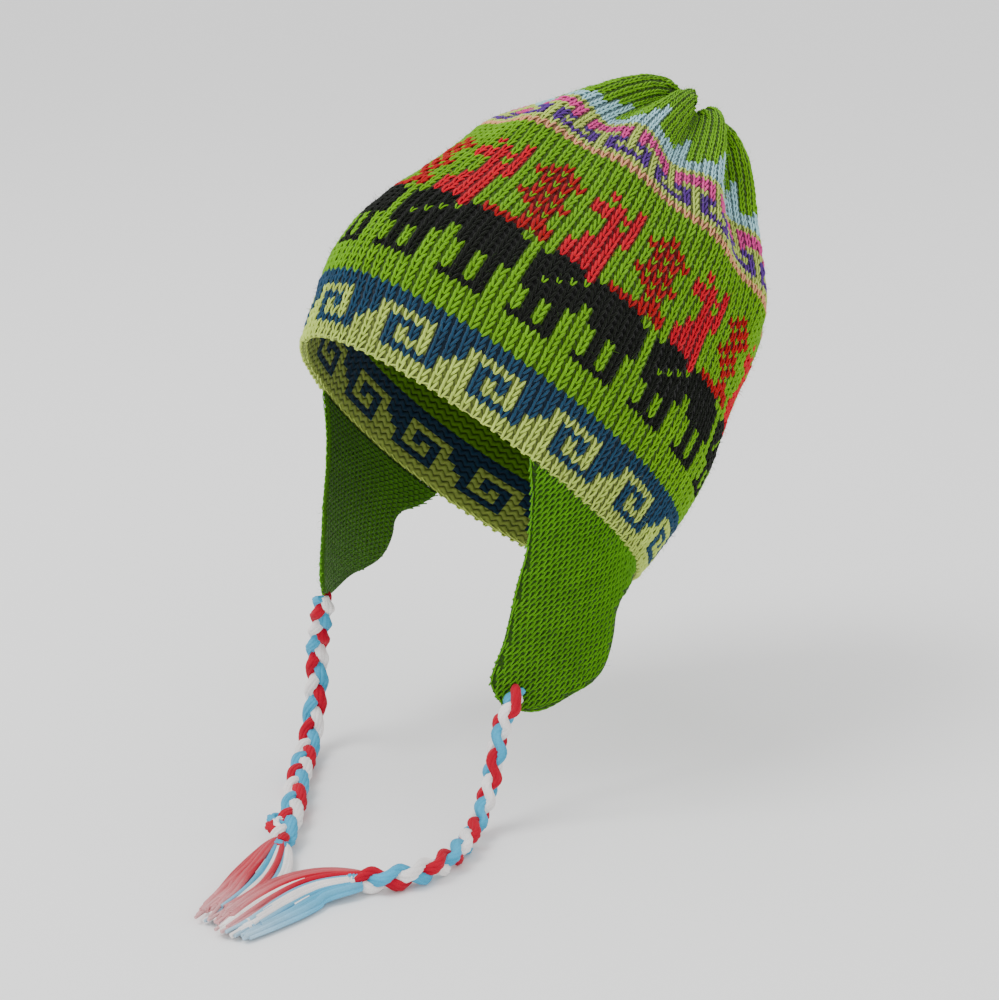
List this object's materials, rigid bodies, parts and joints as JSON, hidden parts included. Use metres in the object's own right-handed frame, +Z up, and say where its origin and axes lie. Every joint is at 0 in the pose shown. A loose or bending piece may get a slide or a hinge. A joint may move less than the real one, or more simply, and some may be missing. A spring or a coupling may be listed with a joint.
{
  "type": "chullo hat",
  "caption": "Knitted chullo cap with a gathered top, patterned bands, ear flaps and braided ties that end in tassels.",
  "frame": {"origin": "centre of the head opening, where the wearer's head carries the cap (mount head_seat)", "axes": "+Z up through the worn cap, the face looks toward -Y, the wearer's left is +X"},
  "size_m": [0.1741, 0.3303, 0.2993],
  "materials": {
    "green_knit": "knitted wool in colour bands",
    "flap_knit": "plain knitted wool",
    "braided_yarn": "three-strand braid",
    "tassel_yarn": "loose yarn"
  },
  "bodies": {
    "root": {"crown": "green_knit", "ear_flap_left": "flap_knit", "ear_flap_right": "flap_knit", "tie_left": "braided_yarn", "tie_right": "braided_yarn", "tassel_left": "tassel_yarn", "tassel_right": "tassel_yarn"}
  },
  "joints": []
}
